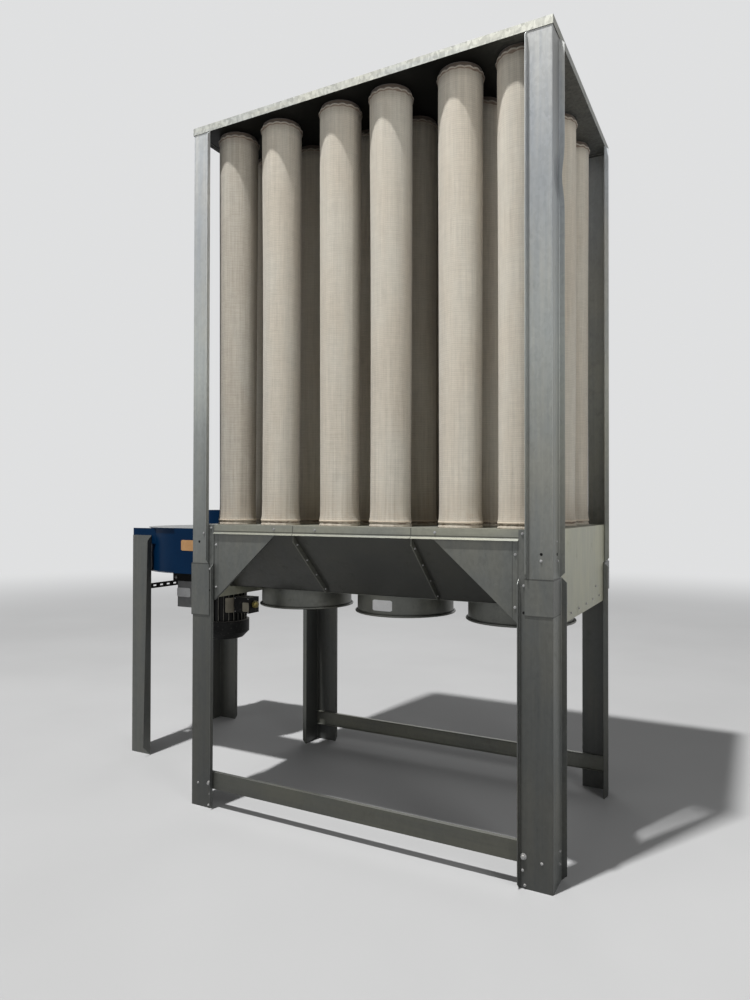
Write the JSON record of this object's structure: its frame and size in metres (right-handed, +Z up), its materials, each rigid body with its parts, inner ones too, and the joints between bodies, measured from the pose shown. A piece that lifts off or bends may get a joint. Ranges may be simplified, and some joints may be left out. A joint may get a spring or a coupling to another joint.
{
  "type": "bag filter dust collector",
  "caption": "Open fabric bag filter on a folded steel frame, with a trough hopper, round dust outlets and a side-mounted fan with its motor below.",
  "frame": {"origin": "middle of the bounding box at floor level", "axes": "+Z up from the feet to the tray, -Y the front with the long row of bags, -X the end with the fan"},
  "size_m": [2.869, 1.319, 3.49],
  "materials": {
    "steel": "galvanised sheet, weathered, with faint streaks",
    "cloth": "woven filter cloth, dusty, greige",
    "navy": "dark blue paint, dusty on top",
    "black": "black paint, satin",
    "motor": "grey paint on cast metal, dirty",
    "box": "grey paint, satin"
  },
  "bodies": {
    "root": {"top_tray": "steel", "top_caps": "black", "bag_base_1": "steel", "bag_base_2": "steel", "bag_base_3": "steel", "bag_row_1": "cloth", "bag_row_2": "cloth", "bag_row_3": "cloth", "bag_row_4": "cloth", "post_front_left": "steel", "post_front_right": "steel", "post_back_left": "steel", "post_back_right": "steel", "leg_front_left": "steel", "leg_front_right": "steel", "leg_back_left": "steel", "leg_back_right": "steel", "splices": "steel", "hopper_front_1": "steel", "hopper_front_2": "steel", "hopper_front_3": "steel", "hopper_back_1": "steel", "hopper_back_2": "steel", "hopper_back_3": "steel", "outlet_1": "steel", "outlet_2": "steel", "outlet_3": "steel", "end_panel_left": "steel", "end_panel_right": "steel", "gussets_front": "steel", "gussets_back": "steel", "brace_front": "steel", "brace_back": "steel", "fan_housing": "navy", "fan_duct": "steel", "fan_inlet": "navy", "fan_wheel": "motor", "fan_stool": "black", "fan_motor": "motor", "motor_cowl": "black", "terminal_box": "box", "switch_box": "box", "fan_leg_front": "steel", "fan_leg_back": "steel", "fan_strut": "black"}
  },
  "joints": []
}
